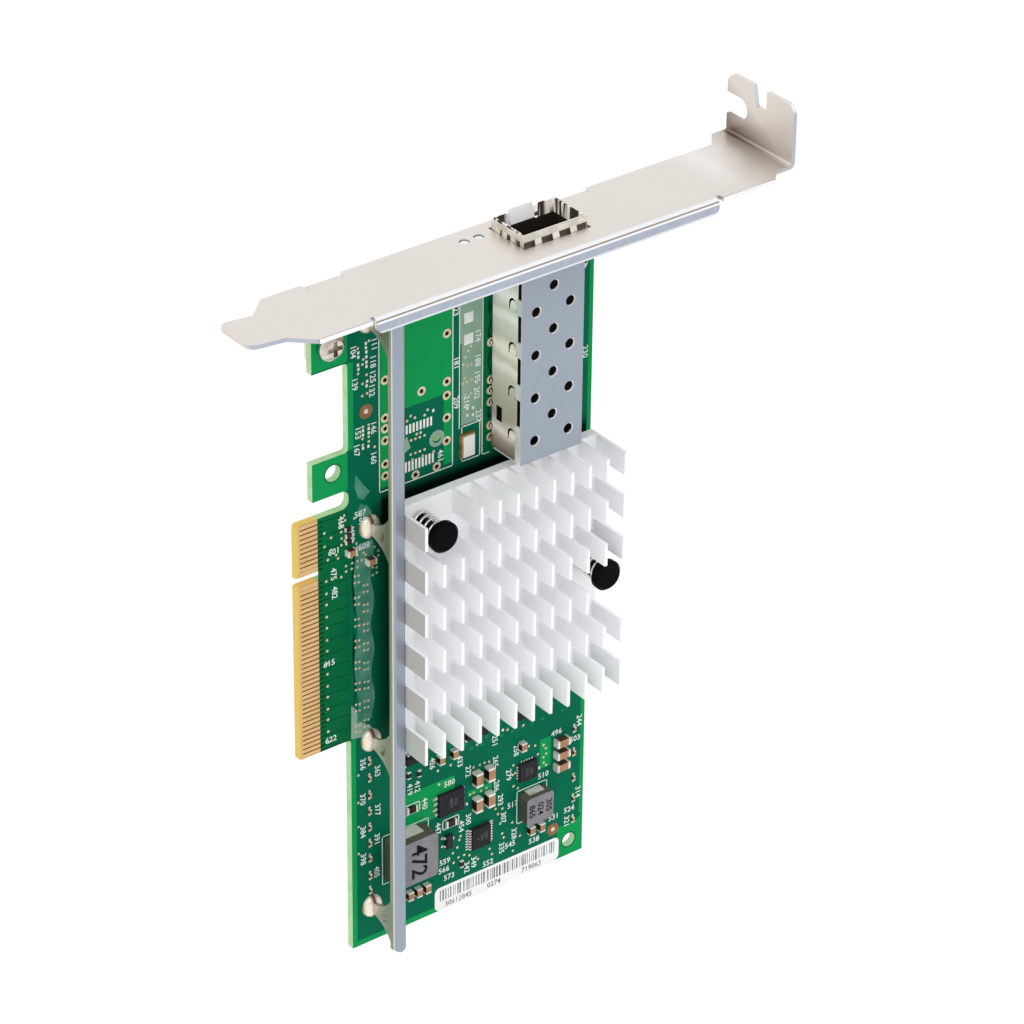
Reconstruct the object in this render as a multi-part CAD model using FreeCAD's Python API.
import FreeCAD, Part
import math
import os

# Network interface card: a low-profile board with an eight-lane card edge, one pluggable
# transceiver cage, a cross-cut heat sink and a full-height mounting bracket.
# Millimetres. X runs from the card edge's tip to the board's far edge, Z from the
# key notch towards the bracket, and the component side of the board is the plane y = 0,
# facing -Y. The origin is the middle of the key notch, at the card edge's tip.

os.makedirs("parts", exist_ok=True)

V = FreeCAD.Vector

# clearances
fit = 0.05            # between pieces that are pushed or laid together
hole_play = 0.2       # round a shank or a pin that passes through a hole
solder_film = 0.02    # between a solder or terminal piece and what it is soldered to

# board
board_thickness = 1.57
board_reach = 68.8            # card edge tip to the far edge
body_left = 12.05             # left edge of the board beside the card edge
board_bracket_gap = 1.9       # from the board's upper edge to the bracket
board_bottom = -88.1
inner_corner = 0.8
card_edge_top = 12.15
card_edge_bottom = -39.15
card_edge_corner = 0.6
key_width = 1.9
key_depth = 8.0
bevel = 0.35
screw_ear_left = 4.15
screw_ear_height = 14.65      # from the board's upper edge
spare_ear_left = 3.95
spare_ear_top = 23.9
spare_ear_bottom = 15.95
spare_hole = (8.6, 20.6, 3.4)         # x, z, diameter
corner_hole_in = (3.45, 3.6)          # from the board's far edge and lower edge
corner_hole_diameter = 3.1

# card edge contacts
contact_pitch = 1.0
contact_width = 0.7
contact_start = 0.6
contact_length = 4.35
contact_height = 0.05
first_contact = 11.5                  # z of contact 1
contacts_above_key = 11
contacts_below_key = 38
first_below_key = -1.5
left_out_contact = 10                 # one front contact is not fitted

# bracket
sheet = 0.86
bracket_inner = 59.05                 # face towards the board
bracket_length = 123.1
bracket_width = 18.42
bracket_bend = 1.3
tongue_tip = -17.1
tongue_width = 10.19
tongue_root = -9.35
tongue_rise = 0.7                     # how far the tip is bent up from the outer face
tongue_corners = (1.8, 2.2)           # front and back corners of the tip
ear_corner = 1.2
flange_corner = 1.5
fold_corners = (1.8, 2.3)             # front and back corners of the fold's free end
flare_end = -4.9
flange_left = 7.3
flange_right = 85.5
flange_height = 3.05
flange_relief = 0.9
ear_length = 15.0
ear_width = 7.4
ear_notch = 0.75
ear_notch_depth = 2.15
offset_start = 98.85                  # where the bracket jogs sideways before the fold
offset_run = 2.7
offset_back = 3.45
offset_front = 2.75
fold_height = 12.1                    # above the bracket's outer face
slot_width = 4.5
slot_height = 5.7                     # slot centre above the outer face
slot_end = 2.3                        # y of the slot's round end centre
neck_left = -1.55                     # the open notch beside the slot arm
neck_right = -5.4
neck_depth = 4.15
neck_taper = 0.95                     # how far the arm's side of the notch leans in

# bracket screws
screw_left_x = 8.1
screw_right_in = 4.8                  # from the board's far edge
screw_down = 9.65                     # from the board's upper edge
screw_shank = 2.9
screw_head = 5.6
screw_head_height = 2.0
screw_tip_out = 1.6
screw_crown = 0.62                    # flat part of the head, share of its width
screw_cross = (0.9, 3.2, 1.1)         # recess arm: width, length, depth

# stiffening rail
rail_sheet = 0.8
rail_width = 2.9
rail_sink_gap = 0.1
rail_stand = 7.75                     # flange face above the board
rail_lip = 1.1
rail_bottom = -88.0
rail_slant = 2.1                      # how much shorter the rail is at its web
rail_corner = 1.0
rail_top_gap = 1.6
rail_feet = (49.8, 6.45, -40.95, -79.65)
foot_width = 2.4
foot_spread = 9.5
foot_hole_width = 2.4
foot_hole_height = 1.3
foot_hole_stand = 4.4
foot_waist = 0.22                     # how concave the foot's sides are
foot_neck = 1.2                       # straight part above the board
solder_width = 5.2
solder_height = 0.7
solder_crown = 0.7                    # top of the mound, share of its width

# transceiver cage
cage_in = 24.25                       # from the board's far edge to the cage's left side
cage_width = 14.4
cage_length = 47.8
cage_reach = 3.05                     # the rim's height above the bracket's inner face
cage_stand = 0.35
cage_top = 9.5
cage_wall = 0.25
cover_flap = 1.7
window_count = 4                      # slot windows along the seam under the top
window_first = 7.9                    # from the rim to the first window
window_pitch = 8.84
window_length = 5.66
window_drop = 1.2
vent_diameter = 2.0
vent_sides = 12
vent_pitch = 9.03
vent_down = 16.6                      # from the rim to the first vent of the outer rows
vent_rows_from_left = (3.25, 7.3, 11.15)
vent_middle_shift = 4.45
vent_columns = 4
louvre_first = 16.65                  # from the rim to the foot of the first spring tab
louvre_pitch = 9.15
louvre_width = 2.3                    # arched opening round a spring tab in a side wall
louvre_height = 2.6
louvre_stand = 6.4
louvre_slit = 0.2
louvre_head = 0.55                    # gap over the tab
louvre_lean = 7.0                     # degrees that the tab leans into the cage
louvre_sides = 6
side_slot = (1.75, 3.4)               # low and high edge above the board
side_slot_up = (6.2, 9.3)             # from the cage's rear
cage_pin_width = 0.6
cage_pin_short = 0.2                  # legs end inside the board
cage_pin_column = 7.05                # side legs either side of the port's middle
left_pins = (21.9, 13.95, 11.7, 9.2, 4.2, 1.7)         # from the cage's rear
right_pins = (27.0, 16.9, 14.0, 9.25, 6.8, 4.3)
floor_pin = (1.25, 16.8)              # from the port's middle and the cage's rear
pin_hole = 1.05
pin_hole_sides = 8
floor_cut = 13.7                      # the cage floor is open so far from the rear, for the connector
rim_window = (3.7, 10.4)              # latch window along the rim, from the cage's left side
rim_window_depth = 3.0
latch_margin = 0.6
latch_slope = 1.2
collar_wall = 0.2
collar_band = 1.2
collar_drop = 5.6
collar_finger = 1.5
collar_foot = 1.2
collar_rim_gap = 0.15
collar_touch = 0.03                   # between a bowed finger and the bracket opening
opening_side = 0.55                   # bracket opening round the cage
opening_front = 1.05
opening_back = 0.6

# connector inside the cage
host_width = 11.6
host_height = 6.9
host_depth = 8.6
host_stand = 0.15
host_rear_gap = 1.2
host_mouth_width = 9.2
host_mouth_height = 1.9
host_mouth_depth = 5.5
host_nose_side = 0.5
host_nose_share = 0.7                 # of the mouth's depth, cut back beside the mouth
host_peg = 1.5
host_peg_spread = 4.75                # pegs either side of the port's middle
host_peg_up = 4.8                     # from the connector's rear
host_tail = 0.9
host_contact_sheet = 0.25
host_contacts = 10
host_pitch = 0.8
host_contact_width = 0.35

# spare port position on the board
spare_port_shift = -24.3              # x from the fitted port to the spare one
spare_row_holes = ((27.3, 13.8), (32.2, 13.85))

# link lights
light_shifts = (-7.2, -3.95)          # from the cage's left side
light_y = -1.45
light_hole = 2.0
light_body_width = 1.7
light_body_height = 2.5
light_body_length = 4.6
light_nose_back = 0.25                # nose ends below the bracket's outer face
light_edge_gap = 0.3

# heat sink
sink_left = 19.25
sink_columns = 12
sink_pitch = 4.25
sink_fin = 0.65
sink_rear_gap = 2.75                  # from the cage's rear to the sink's upper edge
sink_length = 52.15
sink_rows = 6
sink_row_pitch = 9.32
sink_row_gap = 4.4
sink_stand = 3.0
sink_base = 2.1
sink_fin_height = 8.8
package_side = 25.0
package_height = 2.6
package_lid_side = 19.0
package_substrate = 1.2
left_push_pin_in = (5.25, 4.15)       # from the sink's upper left corner
right_push_pin_in = (3.35, 26.65)     # from the sink's upper right corner
push_head = 6.3
push_head_stand = 13.35               # head face above the board
push_head_thickness = 1.5
push_shank = 2.5
push_barb = 3.5
push_barb_length = 1.7
push_slit = 0.6
push_slit_start = 1.2
push_tip_length = 0.9
push_crown = 0.85                     # flat part of the head, share of its width
spring_wire = 0.5
spring_width = 4.7
spring_turns = 4
spring_steps = 10                     # straight runs in each turn

# oscillator
crystal_shift = (-5.55, 2.1)          # from the cage's left rear corner
crystal_size = (3.2, 5.0)
crystal_base_height = 0.75
crystal_lid_height = 0.35
crystal_lid_step = 0.3

# coils
large_coil_place = (24.55, -70.1)
large_coil_size = (9.7, 10.0)
large_coil_height = 4.5
small_coil_place = (55.8, -71.4)
small_coil_size = (6.6, 6.35)
small_coil_height = 2.9
coil_corner = 0.5
coil_terminal_share = 0.55
coil_terminal_sheet = 0.2
coil_terminal_rise = 0.6
coil_terminal_fold = 0.22

# chips
power_chip_place = (35.45, -62.8)
power_chip_size = (6.0, 5.0)
power_chip_height = 0.95
power_leads = 4
power_lead_pitch = 1.27
power_lead_size = (0.5, 0.5, 0.25)    # length, width, height
regulator_place = (54.4, -63.05)
regulator_size = 4.1
regulator_height = 0.9
regulator_pads = 5
regulator_pitch = 0.65
regulator_pad_size = (0.35, 0.3, 0.12)
driver_place = (42.7, -73.9)
driver_size = (4.4, 4.8)
driver_height = 1.1
driver_leads = 8
driver_pitch = 0.62
driver_span = 6.6
driver_lead_width = 0.26
transistor_place = (34.95, -71.9)
transistor_size = (1.4, 3.0)
transistor_height = 1.0
transistor_span = 3.2
transistor_lead_width = 0.4
transistor_lead_spread = 0.95
logic_chips = (                       # half under the sink: place, width, depth, leads on a side
    (41.3, -47.6, 4.9, 3.9, 4), (53.05, -47.8, 3.9, 3.9, 3), (25.6, -48.75, 2.9, 1.6, 2),
)
logic_height = 1.5
logic_lead_pitch = 1.27
logic_lead_width = 0.45
logic_lead_reach = 1.05
lead_sheet = 0.2
lead_stand = 0.1
lead_knee = 0.45                      # where a lead turns down, share of its reach
lead_height = 0.6                     # where it leaves the body, share of the body's height

# capacitors and resistors: long side, short side, height
case_large = (3.2, 1.6, 1.55)
case_medium = (2.0, 1.25, 1.2)
case_small = (1.0, 0.5, 0.5)
case_sense = (2.5, 1.4, 0.55)
case_chip = (1.6, 0.8, 0.45)
terminal_share = 0.16
large_capacitors = (
    (41.8, -59.8, "z"), (44.8, -59.7, "z"), (41.8, -65.85, "z"), (44.8, -65.8, "z"),
    (62.7, -59.45, "x"), (62.7, -62.3, "x"), (62.7, -65.15, "x"),
)
medium_capacitors = (
    (32.95, -51.8), (36.2, -51.7), (53.0, -56.8), (55.4, -77.7), (57.9, -77.9),
    (25.4, -80.8), (27.5, -80.8), (29.6, -80.8),
)
edge_capacitors = ((12.1, 2.7), (16.6, -0.8))
small_column_left = 16.25
small_left_places = (-45.7, -49.6, -53.5, -57.3, -61.0, -64.8, -68.3, -72.4, -75.9)
small_column_right_in = 2.55          # from the board's far edge
small_right_places = (-58.1, -63.7, -69.8, -74.8, -79.8)
sense_places = ((26.2, -60.9), (35.7, -68.0))
chip_resistor_places = (
    (25.5, -52.7, "z"), (28.0, -53.2, "z"), (38.35, -78.9, "z"),
    (11.8, 7.7, "x"), (11.9, 6.3, "x"), (11.9, 4.9, "x"),
)
back_capacitor_rows = 3
back_capacitor_columns = 4
back_capacitor_pitch = 3.4

# label
label_left = 31.9
label_right = 62.8
label_top = -82.6
label_bottom = -88.0
label_corner = 1.2
label_thickness = 0.1

# worked out from the sizes above
solder_side = board_thickness
board_top = bracket_inner - board_bracket_gap
screw_ear_bottom = board_top - screw_ear_height
corner_hole = (board_reach - corner_hole_in[0], board_bottom + corner_hole_in[1], corner_hole_diameter)
screw_left = (screw_left_x, board_top - screw_down)
screw_right = (board_reach - screw_right_in, board_top - screw_down)
small_column_right = board_reach - small_column_right_in
bracket_outer = bracket_inner + sheet
bracket_back = solder_side + sheet + fit
bracket_front = bracket_back - bracket_width
bracket_middle = (bracket_back + bracket_front) / 2
fold_outer = tongue_tip + bracket_length
fold_inner = fold_outer - sheet
rail_left = sink_left - rail_sink_gap - rail_width
cage_left = board_reach - cage_in
cage_right = cage_left + cage_width
cage_rim = bracket_inner + cage_reach
cage_rear = cage_rim - cage_length
vent_first = cage_rim - vent_down
light_places = [cage_left + shift for shift in light_shifts]
port_middle = cage_left + cage_width / 2
sink_right = sink_left + (sink_columns - 1) * sink_pitch + sink_fin
sink_top = cage_rear - sink_rear_gap
sink_bottom = sink_top - sink_length
left_push_pin = (sink_left + left_push_pin_in[0], sink_top - left_push_pin_in[1])
right_push_pin = (sink_right - right_push_pin_in[0], sink_top - right_push_pin_in[1])
crystal_place = (cage_left + crystal_shift[0], cage_rear + crystal_shift[1])
sink_face = -(sink_stand + sink_base)
side_bow = opening_side - fit - collar_wall - collar_touch
front_bow = opening_front - fit - collar_wall - collar_touch
cage_height = cage_top - cage_stand
host_low = cage_rear + host_rear_gap
host_high = host_low + host_depth
host_middle = -host_stand - host_height / 2
sink_middle = ((sink_left + sink_right) / 2, (sink_top + sink_bottom) / 2)


def outline(corners, place):
    # closed wire through (a, b, radius) corners, each rounded by its own radius
    count = len(corners)
    stretches = []
    for index, (a, b, radius) in enumerate(corners):
        here = V(a, b, 0)
        before = corners[index - 1]
        after = corners[(index + 1) % count]
        back = (V(before[0], before[1], 0) - here).normalize()
        ahead = (V(after[0], after[1], 0) - here).normalize()
        if radius <= 0:
            stretches.append((here, None, here))
            continue
        half = back.getAngle(ahead) / 2
        reach = radius / math.tan(half)
        middle_way = (back + ahead).normalize()
        centre = here + middle_way * (radius / math.sin(half))
        stretches.append((here + back * reach, centre - middle_way * radius, here + ahead * reach))
    edges = []
    for index, (start, middle, end) in enumerate(stretches):
        if middle is not None:
            edges.append(Part.Arc(place(start), place(middle), place(end)).toShape())
        following = stretches[(index + 1) % count][0]
        if (following - end).Length > 1e-6:
            edges.append(Part.makeLine(place(end), place(following)))
    return Part.Wire(edges)


def slab(corners, low, high):
    # outline drawn in x and z, thickness along y
    wire = outline(corners, lambda p: V(p.x, low, p.y))
    return Part.Face(wire).extrude(V(0, high - low, 0))


def strip(corners, low, high):
    # outline drawn in y and z, length along x
    wire = outline(corners, lambda p: V(low, p.x, p.y))
    return Part.Face(wire).extrude(V(high - low, 0, 0))


def plate(corners, low, high):
    # outline drawn in x and y, thickness along z
    wire = outline(corners, lambda p: V(p.x, p.y, low))
    return Part.Face(wire).extrude(V(0, 0, high - low))


def block(x, y, z):
    # box between two x, two y and two z values
    return Part.makeBox(x[1] - x[0], y[1] - y[0], z[1] - z[0], V(x[0], y[0], z[0]))


def centred(place, size, low, high):
    # box on the board's face, by its middle in x and z
    half_x = size[0] / 2
    half_z = size[1] / 2
    return block((place[0] - half_x, place[0] + half_x), (low, high),
                 (place[1] - half_z, place[1] + half_z))


def rod(x, z, diameter, low, high):
    # round bar along y
    return Part.makeCylinder(diameter / 2, high - low, V(x, low, z), V(0, 1, 0))


def post(x, y, diameter, low, high):
    # round bar along z
    return Part.makeCylinder(diameter / 2, high - low, V(x, y, low), V(0, 0, 1))


def many_sided(x, z, diameter, low, high, sides):
    # hole along y that repeats often, kept to a few flat sides round the true circle
    radius = diameter / 2 / math.cos(math.pi / sides)
    turns = [math.pi * (2 * n + 1) / sides for n in range(sides)]
    return slab([(x + radius * math.cos(t), z + radius * math.sin(t), 0) for t in turns], low, high)


def cut_all(shape, tools):
    return shape.cut(Part.makeCompound(tools))


def joined(shapes):
    return shapes[0].multiFuse(shapes[1:]).removeSplitter()


def save(name, shapes):
    if not isinstance(shapes, list):
        shapes = [shapes]
    solids = [solid for shape in shapes for solid in shape.Solids]
    whole = solids[0] if len(solids) == 1 else Part.makeCompound(solids)
    whole.exportStep("parts/" + name + ".step")


# Board

def leg_places(shift):
    # press-fit legs of one port: a column under each side wall of its cage, and one in the floor
    left = port_middle - cage_pin_column + shift
    right = port_middle + cage_pin_column + shift
    sides = [(left, cage_rear + up) for up in left_pins] + [(right, cage_rear + up) for up in right_pins]
    return sides + [(port_middle + floor_pin[0] + shift, cage_rear + floor_pin[1])]


def peg_places(shift):
    middle = port_middle + shift
    return [(middle + way * host_peg_spread, host_low + host_peg_up) for way in (-1, 1)]


def card_edge_wedge(face, depth):
    # wedge that breaks the card edge's long corner on one face
    low = card_edge_bottom - 1
    corners = [(-1, face), (-1, face + 3 * depth), (0, face + depth), (abs(depth) * 2, face), (-1, face)]
    wire = Part.makePolygon([V(x, y, low) for x, y in corners])
    return Part.Face(wire).extrude(V(0, 0, card_edge_top + 1 - low))


def make_board():
    key = key_width / 2
    step = (spare_ear_bottom - card_edge_top) * 0.4
    corners = [
        (board_reach, board_bottom, 0),
        (board_reach, board_top, 0),
        (screw_ear_left, board_top, 0),
        (screw_ear_left, screw_ear_bottom, 0),
        (body_left, screw_ear_bottom, inner_corner),
        (body_left, spare_ear_top, inner_corner),
        (spare_ear_left, spare_ear_top, 0),
        (spare_ear_left, spare_ear_bottom, 0),
        (body_left, spare_ear_bottom, step),
        (body_left, card_edge_top, step),
        (0, card_edge_top, card_edge_corner),
        (0, key, 0),
        (key_depth, key, key * 0.95),
        (key_depth, -key, key * 0.95),
        (0, -key, 0),
        (0, card_edge_bottom, card_edge_corner),
        (body_left, card_edge_bottom, inner_corner),
        (body_left, board_bottom, 0),
    ]
    board = slab(corners, 0, board_thickness)
    low = -1
    high = board_thickness + 1
    cuts = [card_edge_wedge(0, bevel), card_edge_wedge(solder_side, -bevel)]
    for x, z in leg_places(0) + leg_places(spare_port_shift) + list(spare_row_holes):
        cuts.append(many_sided(x, z, pin_hole, low, high, pin_hole_sides))
    for x, z in peg_places(0) + peg_places(spare_port_shift):
        cuts.append(many_sided(x, z, host_peg + 2 * hole_play, low, high, pin_hole_sides))
    for x, z, diameter in (spare_hole, corner_hole):
        cuts.append(rod(x, z, diameter, low, high))
    for x, z in (screw_left, screw_right):
        cuts.append(many_sided(x, z, screw_shank + 2 * hole_play, low, high, pin_hole_sides))
    for x, z in (left_push_pin, right_push_pin):
        cuts.append(many_sided(x, z, push_shank + 2 * hole_play, low, high, pin_hole_sides))
    web = (rail_left - hole_play, rail_left + rail_sheet + hole_play)
    half = foot_width / 2 + hole_play
    for z in rail_feet:
        cuts.append(block(web, (low, high), (z - half, z + half)))
    return cut_all(board, cuts)


def make_contacts(low, high, left_out):
    # one pad for each place along the card edge, apart from the place that is left out
    pads = []
    places = [first_contact - contact_pitch * n for n in range(contacts_above_key)]
    places += [first_below_key - contact_pitch * n for n in range(contacts_below_key)]
    middle = contact_start + contact_length / 2
    for number, z in enumerate(places, start=1):
        if number != left_out:
            pads.append(centred((middle, z), (contact_length, contact_width), low, high))
    return pads


def make_label():
    corners = [(label_left, label_bottom, label_corner), (label_right, label_bottom, label_corner),
               (label_right, label_top, label_corner), (label_left, label_top, label_corner)]
    return slab(corners, -label_thickness, 0)


# Bracket

def bracket_ear(screw):
    # tab bent down from the back edge, onto the board's solder side
    left = screw[0] - ear_width / 2
    right = screw[0] + ear_width / 2
    low = bracket_inner - ear_length
    inner = bracket_bend - sheet
    profile = [
        (bracket_back - bracket_bend, bracket_outer, 0), (bracket_back, bracket_outer, bracket_bend),
        (bracket_back, low, 0), (bracket_back - sheet, low, 0),
        (bracket_back - sheet, bracket_inner, inner), (bracket_back - bracket_bend, bracket_inner, 0),
    ]
    ear = strip(profile, left, right)
    shape = [(left, low, ear_corner), (right, low, ear_corner), (right, bracket_outer + 1, 0),
             (left, bracket_outer + 1, 0)]
    ear = ear.common(slab(shape, bracket_back - bracket_bend - 1, bracket_back + 1))
    return ear.cut(many_sided(screw[0], screw[1], screw_shank + 2 * fit, solder_side - 1,
                              bracket_back + 1, pin_hole_sides))


def bracket_flange():
    inner = bracket_bend - sheet
    low = bracket_outer - flange_height
    profile = [
        (bracket_front + bracket_bend, bracket_outer, 0), (bracket_front, bracket_outer, bracket_bend),
        (bracket_front, low, 0), (bracket_front + sheet, low, 0),
        (bracket_front + sheet, bracket_inner, inner), (bracket_front + bracket_bend, bracket_inner, 0),
    ]
    flange = strip(profile, flange_left, flange_right)
    shape = [(flange_left, low, flange_corner), (flange_right, low, flange_corner),
             (flange_right, bracket_outer + 1, 0), (flange_left, bracket_outer + 1, 0)]
    return flange.common(slab(shape, bracket_front - 1, bracket_front + bracket_bend + 1))


def bracket_fold():
    # end tab, with the open screw slot and the notch that leaves the slot's upper arm
    inner = bracket_bend - sheet
    top = bracket_outer + fold_height
    back = bracket_back + offset_back
    front = bracket_front + offset_front
    profile = [
        (fold_outer - bracket_bend, bracket_inner, 0), (fold_outer, bracket_inner, bracket_bend),
        (fold_outer, top, 0), (fold_inner, top, 0),
        (fold_inner, bracket_outer, inner), (fold_outer - bracket_bend, bracket_outer, 0),
    ]
    tab = slab(profile, front, back)
    centre = bracket_outer + slot_height
    half = slot_width / 2
    floor = top - neck_depth
    shape = [
        (front, bracket_inner - 1, 0), (back, bracket_inner - 1, 0),
        (back, centre - half, 0), (slot_end - half, centre - half, half * 0.99),
        (slot_end - half, centre + half, half * 0.99), (back, centre + half, 0),
        (back, top, fold_corners[1]), (neck_left, top, 0), (neck_left - neck_taper, floor, 0),
        (neck_right, floor, 0), (neck_right, top, 0), (front, top, fold_corners[0]),
    ]
    return tab.common(strip(shape, fold_outer - bracket_bend - 1, fold_outer + 1))


def bracket_tongue():
    # rounded end that hooks into the case, bent up a little
    half = tongue_width / 2
    profile = [(tongue_root, bracket_inner, 0), (tongue_root, bracket_outer, 0),
               (tongue_tip, bracket_outer + tongue_rise, 0), (tongue_tip, bracket_inner + tongue_rise, 0)]
    tongue = slab(profile, bracket_middle - half, bracket_middle + half)
    shape = [(tongue_tip, bracket_middle - half, tongue_corners[0]),
             (tongue_root, bracket_middle - half, 0), (tongue_root, bracket_middle + half, 0),
             (tongue_tip, bracket_middle + half, tongue_corners[1])]
    return tongue.common(plate(shape, bracket_inner - 1, bracket_outer + tongue_rise + 1))


def make_bracket():
    half_tongue = tongue_width / 2
    back = bracket_back + offset_back
    front = bracket_front + offset_front
    end = fold_outer - bracket_bend
    corners = [
        (tongue_root, bracket_middle - half_tongue, 0),
        (flare_end, bracket_front, 0),
        (offset_start, bracket_front, 0),
        (offset_start + offset_run, front, 0),
        (end, front, 0), (end, back, 0),
        (offset_start + offset_run, back, 0),
        (offset_start, bracket_back, 0),
        (flare_end, bracket_back, 0),
        (tongue_root, bracket_middle + half_tongue, 0),
    ]
    body = plate(corners, bracket_inner, bracket_outer)
    cuts = []
    for x, z in (screw_left, screw_right):
        left = x - ear_width / 2
        right = x + ear_width / 2
        cuts.append(block((left, right), (bracket_back - bracket_bend, bracket_back + 1),
                          (bracket_inner - 1, bracket_outer + 1)))
        for edge, way in ((left, -1), (right, 1)):
            notch = [(edge, bracket_back - ear_notch_depth, 0), (edge, bracket_back, 0),
                     (edge + way * ear_notch, bracket_back, 0)]
            cuts.append(plate(notch, bracket_inner - 1, bracket_outer + 1))
    cuts.append(block((flange_left, flange_right), (bracket_front - 1, bracket_front + bracket_bend),
                      (bracket_inner - 1, bracket_outer + 1)))
    for start in (flange_left - flange_relief, flange_right):
        cuts.append(block((start, start + flange_relief),
                          (bracket_front - 1, bracket_front + bracket_bend),
                          (bracket_inner - 1, bracket_outer + 1)))
    opening = [
        (cage_left - opening_side, -cage_top - opening_front, 0),
        (cage_right + opening_side, -cage_top - opening_front, 0),
        (cage_right + opening_side, -cage_stand + opening_back, 0),
        (cage_left - opening_side, -cage_stand + opening_back, 0),
    ]
    cuts.append(plate(opening, bracket_inner - 1, bracket_outer + 1))
    for x in light_places:
        cuts.append(post(x, light_y, light_hole, bracket_inner - 1, bracket_outer + 1))
    body = cut_all(body, cuts)
    pieces = [body, bracket_tongue(), bracket_flange(), bracket_fold(),
              bracket_ear(screw_left), bracket_ear(screw_right)]
    return joined(pieces)


def make_screw(screw):
    x, z = screw
    base = -fit
    radius = screw_head / 2
    crown = base - screw_head_height
    profile = Part.makePolygon([V(0, base, 0), V(radius, base, 0), V(radius, base - screw_head_height / 2, 0),
                                V(radius * screw_crown, crown, 0), V(0, crown, 0), V(0, base, 0)])
    head = Part.Face(profile).revolve(V(0, 0, 0), V(0, 1, 0), 360)
    head.translate(V(x, 0, z))
    width, length, depth = screw_cross
    recess = [block((x - across / 2, x + across / 2), (crown - 1, crown + depth),
                    (z - along / 2, z + along / 2))
              for across, along in ((width, length), (length, width))]
    shank = many_sided(x, z, screw_shank, base, bracket_back + screw_tip_out, pin_hole_sides)
    return joined([cut_all(head, recess), shank])


# Stiffening rail

def rail_foot(z):
    # tab from the flange to the board: narrow at the board, concave sides, one long hole
    half = foot_width / 2
    spread = foot_spread / 2
    top = -rail_stand + rail_lip
    hollow = half + (spread - half) * foot_waist
    tip = board_thickness - cage_pin_short
    high = top - rail_lip / 3
    left = Part.Arc(V(0, top, z - spread), V(0, top * 0.55, z - hollow), V(0, -foot_neck, z - half))
    right = Part.Arc(V(0, -foot_neck, z + half), V(0, top * 0.55, z + hollow), V(0, top, z + spread))
    foot_end = Part.makePolygon([V(0, -foot_neck, z - half), V(0, tip, z - half), V(0, tip, z + half),
                                 V(0, -foot_neck, z + half)])
    root = Part.makePolygon([V(0, top, z + spread), V(0, high, z + spread), V(0, high, z - spread),
                             V(0, top, z - spread)])
    wire = Part.Wire([left.toShape()] + foot_end.Edges + [right.toShape()] + root.Edges)
    foot = Part.Face(wire).extrude(V(rail_sheet, 0, 0))
    foot.translate(V(rail_left, 0, 0))
    radius = foot_hole_height / 2
    reach = foot_hole_width / 2
    middle = -foot_hole_stand
    chamfer = radius * 0.6
    hole = strip([
        (middle - radius, z - reach + chamfer, 0), (middle - radius, z + reach - chamfer, 0),
        (middle - radius + chamfer, z + reach, 0), (middle + radius - chamfer, z + reach, 0),
        (middle + radius, z + reach - chamfer, 0), (middle + radius, z - reach + chamfer, 0),
        (middle + radius - chamfer, z - reach, 0), (middle - radius + chamfer, z - reach, 0),
    ], rail_left - 1, rail_left + rail_sheet + 1)
    return foot.cut(hole)


def make_rail():
    top = bracket_inner - rail_top_gap
    bend = rail_sheet * 1.25
    section = [
        (rail_left, -rail_stand, bend), (rail_left + rail_width, -rail_stand, 0),
        (rail_left + rail_width, -rail_stand + rail_sheet, 0),
        (rail_left + rail_sheet, -rail_stand + rail_sheet, bend - rail_sheet),
        (rail_left + rail_sheet, -rail_stand + rail_lip, 0), (rail_left, -rail_stand + rail_lip, 0),
    ]
    angle = plate(section, rail_bottom, top)
    right = rail_left + rail_width
    face = [(rail_left, rail_bottom + rail_slant, 0), (right, rail_bottom, rail_corner),
            (right, top, 0), (rail_left, top, 0)]
    angle = angle.common(slab(face, -rail_stand - 1, 0))
    return joined([angle] + [rail_foot(z) for z in rail_feet])


def make_rail_solder():
    # a low mound of solder round each foot, open where the foot passes
    mounds = []
    for z in rail_feet:
        x = rail_left + rail_sheet / 2
        rims = []
        for y, width in ((0, solder_width), (-solder_height, solder_width * solder_crown)):
            turns = [math.pi * (2 * n + 1) / 8 for n in range(9)]
            rims.append(Part.makePolygon([V(x + width / 2 * math.cos(t), y, z + width / 2 * math.sin(t))
                                          for t in turns]))
        mound = Part.makeLoft(rims, True, True)
        half = foot_width / 2 + solder_film
        hole = block((x - rail_sheet / 2 - solder_film, x + rail_sheet / 2 + solder_film),
                     (-solder_height - 1, 1), (z - half, z + half))
        mounds.append(mound.cut(hole))
    return mounds


# Transceiver cage

def cage_pin(x, z):
    # flat press-fit leg into the board; a side leg is as thick as it takes to stay in its wall
    half = cage_pin_width / 2
    low = x - cage_wall / 2
    high = x + cage_wall / 2
    if low < cage_left + cage_wall:
        high = cage_left + 2 * cage_wall
    if high > cage_right - cage_wall:
        low = cage_right - 2 * cage_wall
    return block((low, high), (-cage_stand - cage_wall, board_thickness - cage_pin_short),
                 (z - half, z + half))


def seam_windows():
    # slot windows along each side's upper seam, from the rim down
    highs = [cage_rim - window_first - window_pitch * n for n in range(window_count)]
    return [(high - window_length, high) for high in highs]


def seam_flaps():
    # the closed stretches between the windows
    edges = [cage_rim]
    for low, high in seam_windows():
        edges += [high, low]
    edges.append(cage_rear - cage_wall)
    return [(edges[n + 1], edges[n]) for n in range(0, len(edges), 2)]


def latch_flap():
    # tongue of the floor that slopes down under the latch window
    low = cage_left + rim_window[0] + latch_margin
    high = cage_left + rim_window[1] - latch_margin
    root = cage_rim - rim_window_depth - latch_margin
    return strip([(-cage_stand, root, 0), (-cage_stand - cage_wall, root, 0),
                  (-cage_stand - cage_wall + latch_slope, cage_rim - fit, 0),
                  (-cage_stand + latch_slope, cage_rim - fit, 0)], low, high)


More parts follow.
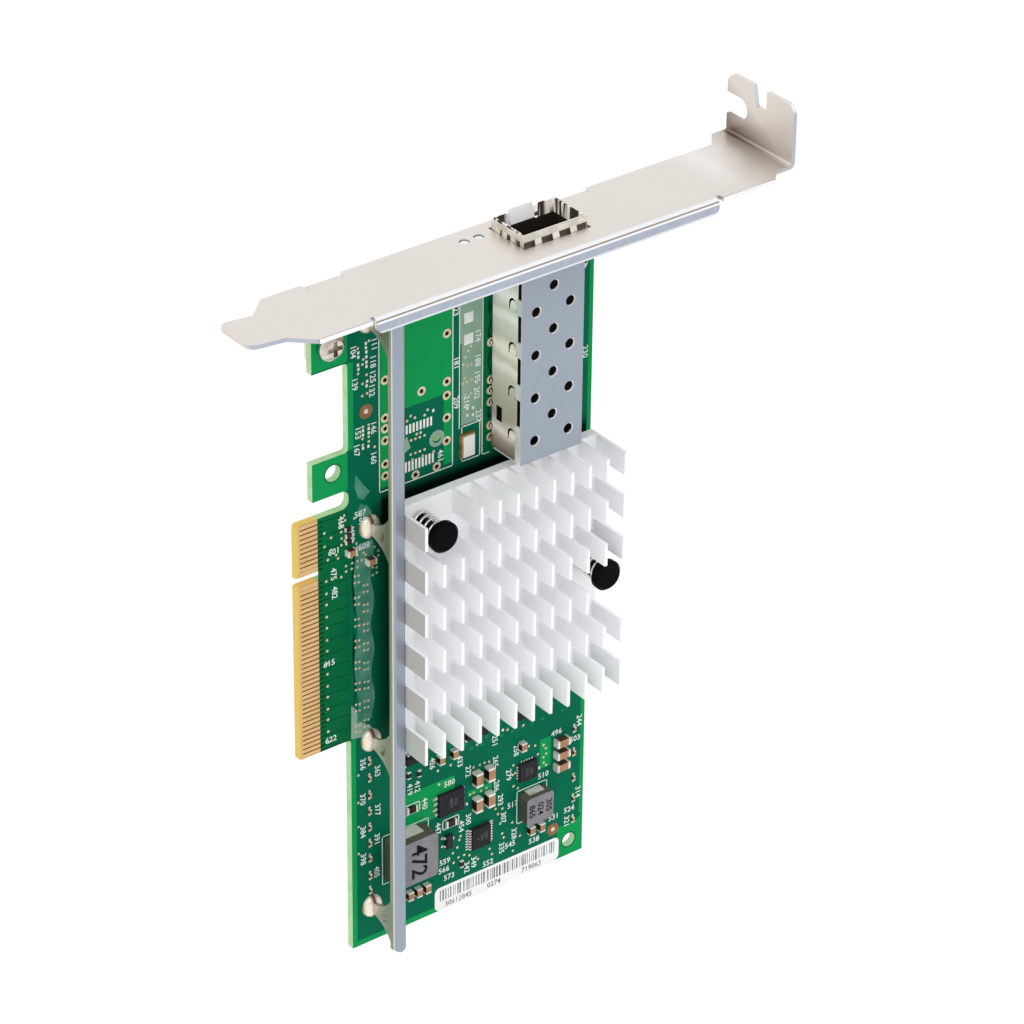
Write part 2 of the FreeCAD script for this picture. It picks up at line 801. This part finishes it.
def arch(width, height, foot, low, high):
    # outline with a round head and a straight foot, in a side wall
    radius = width / 2
    turns = [math.pi * n / louvre_sides for n in range(louvre_sides + 1)]
    points = [(-louvre_stand + radius, foot, 0)]
    points += [(-louvre_stand + radius * math.cos(t), foot + height - radius + radius * math.sin(t), 0)
               for t in turns]
    points.append((-louvre_stand - radius, foot, 0))
    return strip(points, low, high)


def spring_tab(x, foot, way):
    # tab left standing in its arched opening, leaning into the cage
    tab = arch(louvre_width - 2 * louvre_slit, louvre_height - louvre_head, foot, x, x + cage_wall)
    hinge = V(x if way > 0 else x + cage_wall, 0, foot)
    tab.rotate(hinge, V(0, 1, 0), way * louvre_lean)
    root = block((x, x + cage_wall), (-louvre_stand - louvre_width / 2 + louvre_slit,
                                      -louvre_stand + louvre_width / 2 - louvre_slit),
                 (foot - cage_wall, foot + louvre_slit))
    return tab.fuse(root)


def make_cage_body():
    # floor and side walls, with the legs, the louvres, the seam windows and the latch window
    left = cage_left + cage_wall
    right = cage_right - cage_wall
    wall_top = -cage_top + cage_wall + fit
    sides = (left, right - cage_wall)
    pieces = [block((x, x + cage_wall), (wall_top, -cage_stand), (cage_rear, cage_rim)) for x in sides]
    pieces.append(block((left, right), (-cage_stand - cage_wall, -cage_stand),
                        (cage_rear + floor_cut, cage_rim)))
    for x, z in leg_places(0):
        pieces.append(cage_pin(x, z))
    cuts = [block((cage_left + rim_window[0], cage_left + rim_window[1]),
                  (-cage_stand - cage_wall - 1, 1), (cage_rim - rim_window_depth, cage_rim + 1))]
    tabs = []
    for x, way in zip(sides, (1, -1)):
        through = (x - 1, x + cage_wall + 1)
        for low, high in seam_windows():
            cuts.append(block(through, (wall_top - 1, wall_top + window_drop), (low, high)))
        cuts.append(block(through, (-side_slot[1], -side_slot[0]),
                          (cage_rear + side_slot_up[0], cage_rear + side_slot_up[1])))
        for n in range(vent_columns):
            foot = cage_rim - louvre_first - louvre_pitch * n
            cuts.append(arch(louvre_width, louvre_height, foot, x - 1, x + cage_wall + 1))
            tabs.append(spring_tab(x, foot, way))
    return joined([cut_all(joined(pieces), cuts), latch_flap()] + tabs)


def make_cage_cover():
    # top wall with vent holes, side flaps with gaps, and the rear wall
    top = -cage_top
    rear = cage_rear - cage_wall
    pieces = [block((cage_left, cage_right), (top, top + cage_wall), (rear, cage_rim))]
    pieces.append(block((cage_left, cage_right), (top, -cage_stand - host_tail), (rear, cage_rear - fit)))
    sides = ((cage_left, cage_left + cage_wall - fit), (cage_right - cage_wall + fit, cage_right))
    for low, high in seam_flaps():
        for x in sides:
            pieces.append(block(x, (top, top + cover_flap), (low, high)))
    holes = []
    for row, from_left in enumerate(vent_rows_from_left):
        shift = vent_middle_shift if row == 1 else 0
        for n in range(vent_columns):
            holes.append(many_sided(cage_left + from_left, vent_first + shift - vent_pitch * n,
                                    vent_diameter, top - 1, top + 1, vent_sides))
    return cut_all(joined(pieces), holes)


def collar_finger_at(place, face, way, bow, middle):
    # bowed contact finger: leaves the band, bows out towards the bracket and comes back
    top = cage_rim - collar_band
    bottom = cage_rim - collar_drop
    low = middle - collar_finger / 2
    line = [(fit, top), (fit + bow, (top + bottom) / 2), (fit, bottom)]
    points = line + [(out + collar_wall, up) for out, up in reversed(line)]
    wire = Part.makePolygon([place(face + way * out, low, up) for out, up in points + points[:1]])
    return Part.Face(wire).extrude(place(0, collar_finger, 0))


def collar_ring(low, high):
    # band round three sides of the cage
    near = fit
    far = fit + collar_wall
    ring = block((cage_left - far, cage_right + far), (-cage_top - far, -cage_stand), (low, high))
    return ring.cut(block((cage_left - near, cage_right + near), (-cage_top - near, 1),
                          (low - 1, high + 1)))


def make_collar():
    # spring collar round the cage's mouth: two bands with bowed fingers that touch the bracket
    top = cage_rim - collar_band
    bottom = cage_rim - collar_drop
    pieces = [collar_ring(top, cage_rim - collar_rim_gap), collar_ring(bottom - collar_foot, bottom)]
    for n in range(3):
        middle = cage_left + cage_width * (0.22 + 0.282 * n)
        pieces.append(collar_finger_at(lambda out, along, up: V(along, out, up),
                                       -cage_top, -1, front_bow, middle))
    for n in range(2):
        middle = -cage_top + cage_height * (0.29 + 0.49 * n)
        for face, way in ((cage_left, -1), (cage_right, 1)):
            pieces.append(collar_finger_at(lambda out, along, up: V(out, along, up),
                                           face, way, side_bow, middle))
    far = fit + collar_wall
    for x in ((cage_left - far, cage_left - fit), (cage_right + fit, cage_right + far)):
        for y in ((-cage_top - far, -cage_top + collar_band / 2), (-cage_stand - collar_band, -cage_stand)):
            pieces.append(block(x, y, (bottom - collar_foot / 2, top + collar_band / 2)))
    return joined(pieces)


# Connector inside the cage

def make_host_connector():
    # moulded body with a mouth for the module's edge, cut back beside it, on two pegs
    half = host_width / 2
    top = -host_stand - host_height
    body = block((port_middle - half, port_middle + half), (top, -host_stand), (host_low, host_high))
    mouth = block((port_middle - host_mouth_width / 2, port_middle + host_mouth_width / 2),
                  (host_middle - host_mouth_height / 2, host_middle + host_mouth_height / 2),
                  (host_high - host_mouth_depth, host_high + 1))
    inner = host_mouth_width / 2 + host_nose_side
    cuts = [mouth]
    for low in (port_middle - half - 1, port_middle + inner):
        cuts.append(block((low, low + half + 1 - inner), (top - 1, 1),
                          (host_high - host_mouth_depth * host_nose_share, host_high + 1)))
    half_peg = host_peg / 2 * math.sqrt(0.5)
    pegs = [block((x - half_peg, x + half_peg), (-host_stand - 1, board_thickness - cage_pin_short),
                  (z - half_peg, z + half_peg)) for x, z in peg_places(0)]
    return joined([cut_all(body, cuts)] + pegs)


def make_host_contacts():
    # two rows of flat contacts in the mouth, and a row of tails on the board behind the body
    pins = []
    sheet_in = host_contact_sheet
    for n in range(host_contacts):
        x = port_middle + (n - (host_contacts - 1) / 2) * host_pitch
        wide = (x - host_contact_width / 2, x + host_contact_width / 2)
        depth = (host_high - host_mouth_depth, host_high - host_mouth_depth / 8)
        upper = host_middle - host_mouth_height / 2
        lower = host_middle + host_mouth_height / 2
        pins.append(block(wide, (upper, upper + sheet_in), depth))
        pins.append(block(wide, (lower - sheet_in, lower), depth))
        pins.append(block(wide, (-sheet_in, 0), (host_low - host_tail, host_low - fit)))
    return pins


# Link lights

def make_link_lights():
    lights = []
    half = light_body_width / 2
    for x in light_places:
        body = block((x - half, x + half), (-light_body_height, 0),
                     (board_top - light_body_length, board_top - light_edge_gap))
        nose = post(x, light_y, light_hole - 2 * hole_play, board_top - light_body_length / 2,
                    bracket_outer - light_nose_back)
        lights.append(joined([body, nose]))
    return lights


# Heat sink and its fasteners

def make_heat_sink():
    # extruded comb of plate fins, crossed by straight slots, with pockets for two push pins
    tips = sink_face - sink_fin_height
    corners = [(sink_left, -sink_stand, 0), (sink_right, -sink_stand, 0)]
    for column in reversed(range(sink_columns)):
        left = sink_left + column * sink_pitch
        right = left + sink_fin
        corners += [(right, tips, 0), (left, tips, 0)]
        if column > 0:
            before = left - sink_pitch + sink_fin
            corners += [(left, sink_face, 0), (before, sink_face, 0)]
    comb = plate(corners, sink_bottom, sink_top)
    cuts = []
    for row in range(1, sink_rows):
        high = sink_top - row * sink_row_pitch + sink_row_gap
        cuts.append(block((sink_left - 1, sink_right + 1), (tips - 1, sink_face),
                          (high - sink_row_gap, high)))
    for x, z in (left_push_pin, right_push_pin):
        cuts.append(many_sided(x, z, push_shank + 2 * hole_play, sink_face - 1, -sink_stand + 1,
                               pin_hole_sides))
    left_first = sink_left + sink_pitch * 0.5
    cuts.append(block((left_first, left_first + 2 * sink_pitch), (tips - 1, sink_face),
                      (sink_top - sink_row_pitch, sink_top + 1)))
    right_first = sink_right - sink_pitch * 1.5
    row_top = sink_top - 3 * sink_row_pitch
    cuts.append(block((right_first, sink_right + 1), (tips - 1, sink_face),
                      (row_top - sink_row_pitch + sink_row_gap, row_top + 0.1)))
    return cut_all(comb, cuts)


def make_push_pin(place):
    # round head on a shank that ends in a split barb behind the board
    x, z = place
    face = -push_head_stand
    under = face + push_head_thickness
    radius = push_head / 2
    base = solder_side + fit
    barb_end = base + push_barb_length
    tip = barb_end + push_tip_length
    profile = [(0, face), (radius * push_crown, face), (radius, face + push_head_thickness / 3),
               (radius, under), (0, under), (0, face)]
    wire = Part.makePolygon([V(a, b, 0) for a, b in profile])
    head = Part.Face(wire).revolve(V(0, 0, 0), V(0, 1, 0), 360)
    rims = []
    for y, width in ((base, push_barb), (tip, push_shank * 0.6)):
        turns = [math.pi * (2 * n + 1) / pin_hole_sides for n in range(pin_hole_sides + 1)]
        rims.append(Part.makePolygon([V(width / 2 * math.cos(t), y, width / 2 * math.sin(t)) for t in turns]))
    shank = many_sided(0, 0, push_shank, under - fit, base + fit, pin_hole_sides)
    pin = joined([head, shank, Part.makeLoft(rims, True, True)])
    slit = block((-push_barb, push_barb), (base - push_slit_start, tip + 1), (-push_slit / 2, push_slit / 2))
    pin = pin.cut(slit)
    pin.translate(V(x, 0, z))
    return pin


def make_push_spring(place):
    x, z = place
    start = sink_face - spring_wire / 2 - fit
    end = -push_head_stand + push_head_thickness + spring_wire / 2 + fit
    height = start - end
    mean = (spring_width - spring_wire) / 2
    steps = spring_turns * spring_steps
    path = []
    for step in range(steps + 1):
        turn = 2 * math.pi * step / spring_steps
        path.append(V(mean * math.cos(turn), mean * math.sin(turn), height * step / steps))
    wire = Part.makePolygon(path)
    ahead = path[1] - path[0]
    side = V(1, 0, 0)
    lift = ahead.cross(side).normalize()
    rim = []
    for corner in range(7):
        angle = math.pi * corner / 3
        rim.append(path[0] + side * (spring_wire / 2 * math.cos(angle))
                   + lift * (spring_wire / 2 * math.sin(angle)))
    coil = wire.makePipeShell([Part.makePolygon(rim)], True, True, 1)
    coil.rotate(V(0, 0, 0), V(1, 0, 0), 90)
    coil.translate(V(x, start, z))
    return coil


def make_package():
    base = centred(sink_middle, (package_side, package_side), -package_substrate, 0)
    lid = centred(sink_middle, (package_lid_side, package_lid_side), -package_height, -package_substrate)
    return joined([base, lid])


def make_thermal_pad():
    return centred(sink_middle, (package_lid_side, package_lid_side), -sink_stand, -package_height)


# Oscillator

def make_crystal_base():
    return centred(crystal_place, crystal_size, -crystal_base_height, 0)


def make_crystal_lid():
    size = (crystal_size[0] - 2 * crystal_lid_step, crystal_size[1] - 2 * crystal_lid_step)
    return centred(crystal_place, size, -crystal_base_height - crystal_lid_height, -crystal_base_height)


# Coils

def make_coil(place, size, height):
    half_x = size[0] / 2
    half_z = size[1] / 2
    corners = []
    for way_x, way_z in ((-1, -1), (1, -1), (1, 1), (-1, 1)):
        ends = [(place[0] + way_x * (half_x - coil_corner), place[1] + way_z * half_z, 0),
                (place[0] + way_x * half_x, place[1] + way_z * (half_z - coil_corner), 0)]
        corners += ends if way_x * way_z < 0 else reversed(ends)
    return slab(corners, -height, -coil_terminal_sheet)


def make_coil_terminals(place, size, height):
    # a flat strip on each end face, folded under the core
    clips = []
    half_x = size[0] * coil_terminal_share / 2
    half_z = size[1] / 2
    rise = -height * coil_terminal_rise
    for way in (-1, 1):
        end = place[1] + way * half_z
        outer = end + way * coil_terminal_sheet
        inner = end - way * size[1] * coil_terminal_fold
        face = block((place[0] - half_x, place[0] + half_x), (rise, 0), (min(end, outer), max(end, outer)))
        under = block((place[0] - half_x, place[0] + half_x), (-coil_terminal_sheet, 0),
                      (min(inner, outer), max(inner, outer)))
        clips.append(joined([face, under]))
    return clips


# Chips

def make_lead(inner, outer, along, width, body_height):
    # gull-wing lead: out of the body, down, and flat on the board
    way = 1 if outer > inner else -1
    knee = inner + way * abs(outer - inner) * lead_knee
    thick = lead_sheet
    top = -body_height * lead_height
    points = [
        (inner, top), (knee, top), (knee, -thick), (outer, -thick), (outer, 0),
        (knee - way * thick, 0), (knee - way * thick, top + thick), (inner, top + thick),
    ]
    low = along - width / 2
    wire = Part.makePolygon([V(a, b, low) for a, b in points + points[:1]])
    return Part.Face(wire).extrude(V(0, 0, width))


def make_power_leads():
    leads = []
    length, width, height = power_lead_size
    for side in (-1, 1):
        x = power_chip_place[0] + side * (power_chip_size[0] / 2 + fit + length / 2)
        for n in range(power_leads):
            z = power_chip_place[1] + (n - (power_leads - 1) / 2) * power_lead_pitch
            leads.append(centred((x, z), (length, width), -height, 0))
    return leads


def make_regulator_pads():
    pads = []
    length, width, height = regulator_pad_size
    for side in (-1, 1):
        reach = side * (regulator_size / 2 + fit + length / 2)
        for n in range(regulator_pads):
            along = (n - (regulator_pads - 1) / 2) * regulator_pitch
            across = (regulator_place[0] + reach, regulator_place[1] + along)
            up = (regulator_place[0] + along, regulator_place[1] + reach)
            pads.append(centred(across, (length, width), -height, 0))
            pads.append(centred(up, (width, length), -height, 0))
    return pads


def make_driver_leads():
    leads = []
    for side in (-1, 1):
        inner = driver_place[0] + side * (driver_size[0] / 2 + fit)
        outer = driver_place[0] + side * driver_span / 2
        for n in range(driver_leads):
            z = driver_place[1] + (n - (driver_leads - 1) / 2) * driver_pitch
            leads.append(make_lead(inner, outer, z, driver_lead_width, driver_height))
    return leads


def make_transistor_leads():
    body = transistor_size[0] / 2 + fit
    span = transistor_span / 2
    x, z = transistor_place
    leads = [make_lead(x + body, x + span, z, transistor_lead_width, transistor_height)]
    for shift in (-transistor_lead_spread, transistor_lead_spread):
        leads.append(make_lead(x - body, x - span, z + shift, transistor_lead_width, transistor_height))
    return leads


def make_logic_chips():
    return [centred((x, z), (width, depth), -logic_height, -lead_stand)
            for x, z, width, depth, leads in logic_chips]


def make_logic_leads():
    # leads along the upper and lower side of each chip
    leads = []
    for x, z, width, depth, count in logic_chips:
        for n in range(count):
            along = x + (n - (count - 1) / 2) * logic_lead_pitch
            for turn in (-90, 90):
                lead = make_lead(depth / 2 + fit, depth / 2 + logic_lead_reach, 0,
                                 logic_lead_width, logic_height)
                lead.rotate(V(0, 0, 0), V(0, 1, 0), turn)
                lead.translate(V(along, 0, z))
                leads.append(lead)
    return leads


# Capacitors and resistors

def chip_pair(place, case, way, low=0, up=-1):
    # body and two end caps of one small part standing on a board face
    long, wide, height = case
    cap = long * terminal_share
    x, z = place
    size = (wide, long - 2 * cap) if way == "z" else (long - 2 * cap, wide)
    face = sorted((low, low + up * height))
    body = centred((x, z), size, face[0], face[1])
    ends = []
    for side in (-1, 1):
        shift = side * (long - cap) / 2
        middle = (x, z + shift) if way == "z" else (x + shift, z)
        end_size = (wide, cap) if way == "z" else (cap, wide)
        ends.append(centred(middle, end_size, face[0], face[1]))
    return body, ends


def save_pairs(name, places, case, low=0, up=-1):
    bodies, ends = [], []
    for x, z, way in places:
        body, pair = chip_pair((x, z), case, way, low, up)
        bodies.append(body)
        ends += pair
    save(name + "_bodies", bodies)
    save(name + "_terminals", ends)


def medium_places():
    return [(x, z, "z") for x, z in medium_capacitors] + [(x, z, "x") for x, z in edge_capacitors]


def small_places():
    places = [(small_column_left, z, "z") for z in small_left_places]
    return places + [(small_column_right, z, "z") for z in small_right_places]


def back_places():
    places = []
    for row in range(back_capacitor_rows):
        for column in range(back_capacitor_columns):
            x = sink_middle[0] + (column - (back_capacitor_columns - 1) / 2) * back_capacitor_pitch
            z = sink_middle[1] + (row - (back_capacitor_rows - 1) / 2) * back_capacitor_pitch
            places.append((x, z, "z"))
    return places


save("circuit_board", make_board())
save("edge_contacts_front", make_contacts(-contact_height, 0, left_out_contact))
save("edge_contacts_back", make_contacts(solder_side, solder_side + contact_height, 0))
save("board_label", make_label())

save("mounting_bracket", make_bracket())
save("bracket_screws", [make_screw(screw_left), make_screw(screw_right)])
save("stiffening_rail", make_rail())
save("rail_solder", make_rail_solder())

save("cage_body", make_cage_body())
save("cage_cover", make_cage_cover())
save("cage_collar", make_collar())
save("host_connector", make_host_connector())
save("host_contacts", make_host_contacts())
save("link_lights", make_link_lights())

save("heat_sink", make_heat_sink())
save("thermal_pad", make_thermal_pad())
save("controller_package", make_package())
save("push_pin_left", make_push_pin(left_push_pin))
save("push_pin_right", make_push_pin(right_push_pin))
save("push_spring_left", make_push_spring(left_push_pin))
save("push_spring_right", make_push_spring(right_push_pin))

save("crystal_base", make_crystal_base())
save("crystal_lid", make_crystal_lid())
save("large_coil_core", make_coil(large_coil_place, large_coil_size, large_coil_height))
save("large_coil_terminals", make_coil_terminals(large_coil_place, large_coil_size, large_coil_height))
save("small_coil_core", make_coil(small_coil_place, small_coil_size, small_coil_height))
save("small_coil_terminals", make_coil_terminals(small_coil_place, small_coil_size, small_coil_height))

save("power_chip", centred(power_chip_place, power_chip_size, -power_chip_height, 0))
save("power_chip_leads", make_power_leads())
save("regulator_chip", centred(regulator_place, (regulator_size, regulator_size), -regulator_height, 0))
save("regulator_pads", make_regulator_pads())
save("driver_chip", centred(driver_place, driver_size, -driver_height, -lead_stand))
save("driver_leads", make_driver_leads())
save("transistor_body", centred(transistor_place, transistor_size, -transistor_height, -lead_stand))
save("transistor_leads", make_transistor_leads())
save("logic_chips", make_logic_chips())
save("logic_leads", make_logic_leads())

save_pairs("large_capacitor", large_capacitors, case_large)
save_pairs("medium_capacitor", medium_places(), case_medium)
save_pairs("small_capacitor", small_places(), case_small)
save_pairs("sense_resistor", [(x, z, "x") for x, z in sense_places], case_sense)
save_pairs("chip_resistor", chip_resistor_places, case_chip)
save_pairs("back_capacitor", back_places(), case_small, solder_side, 1)
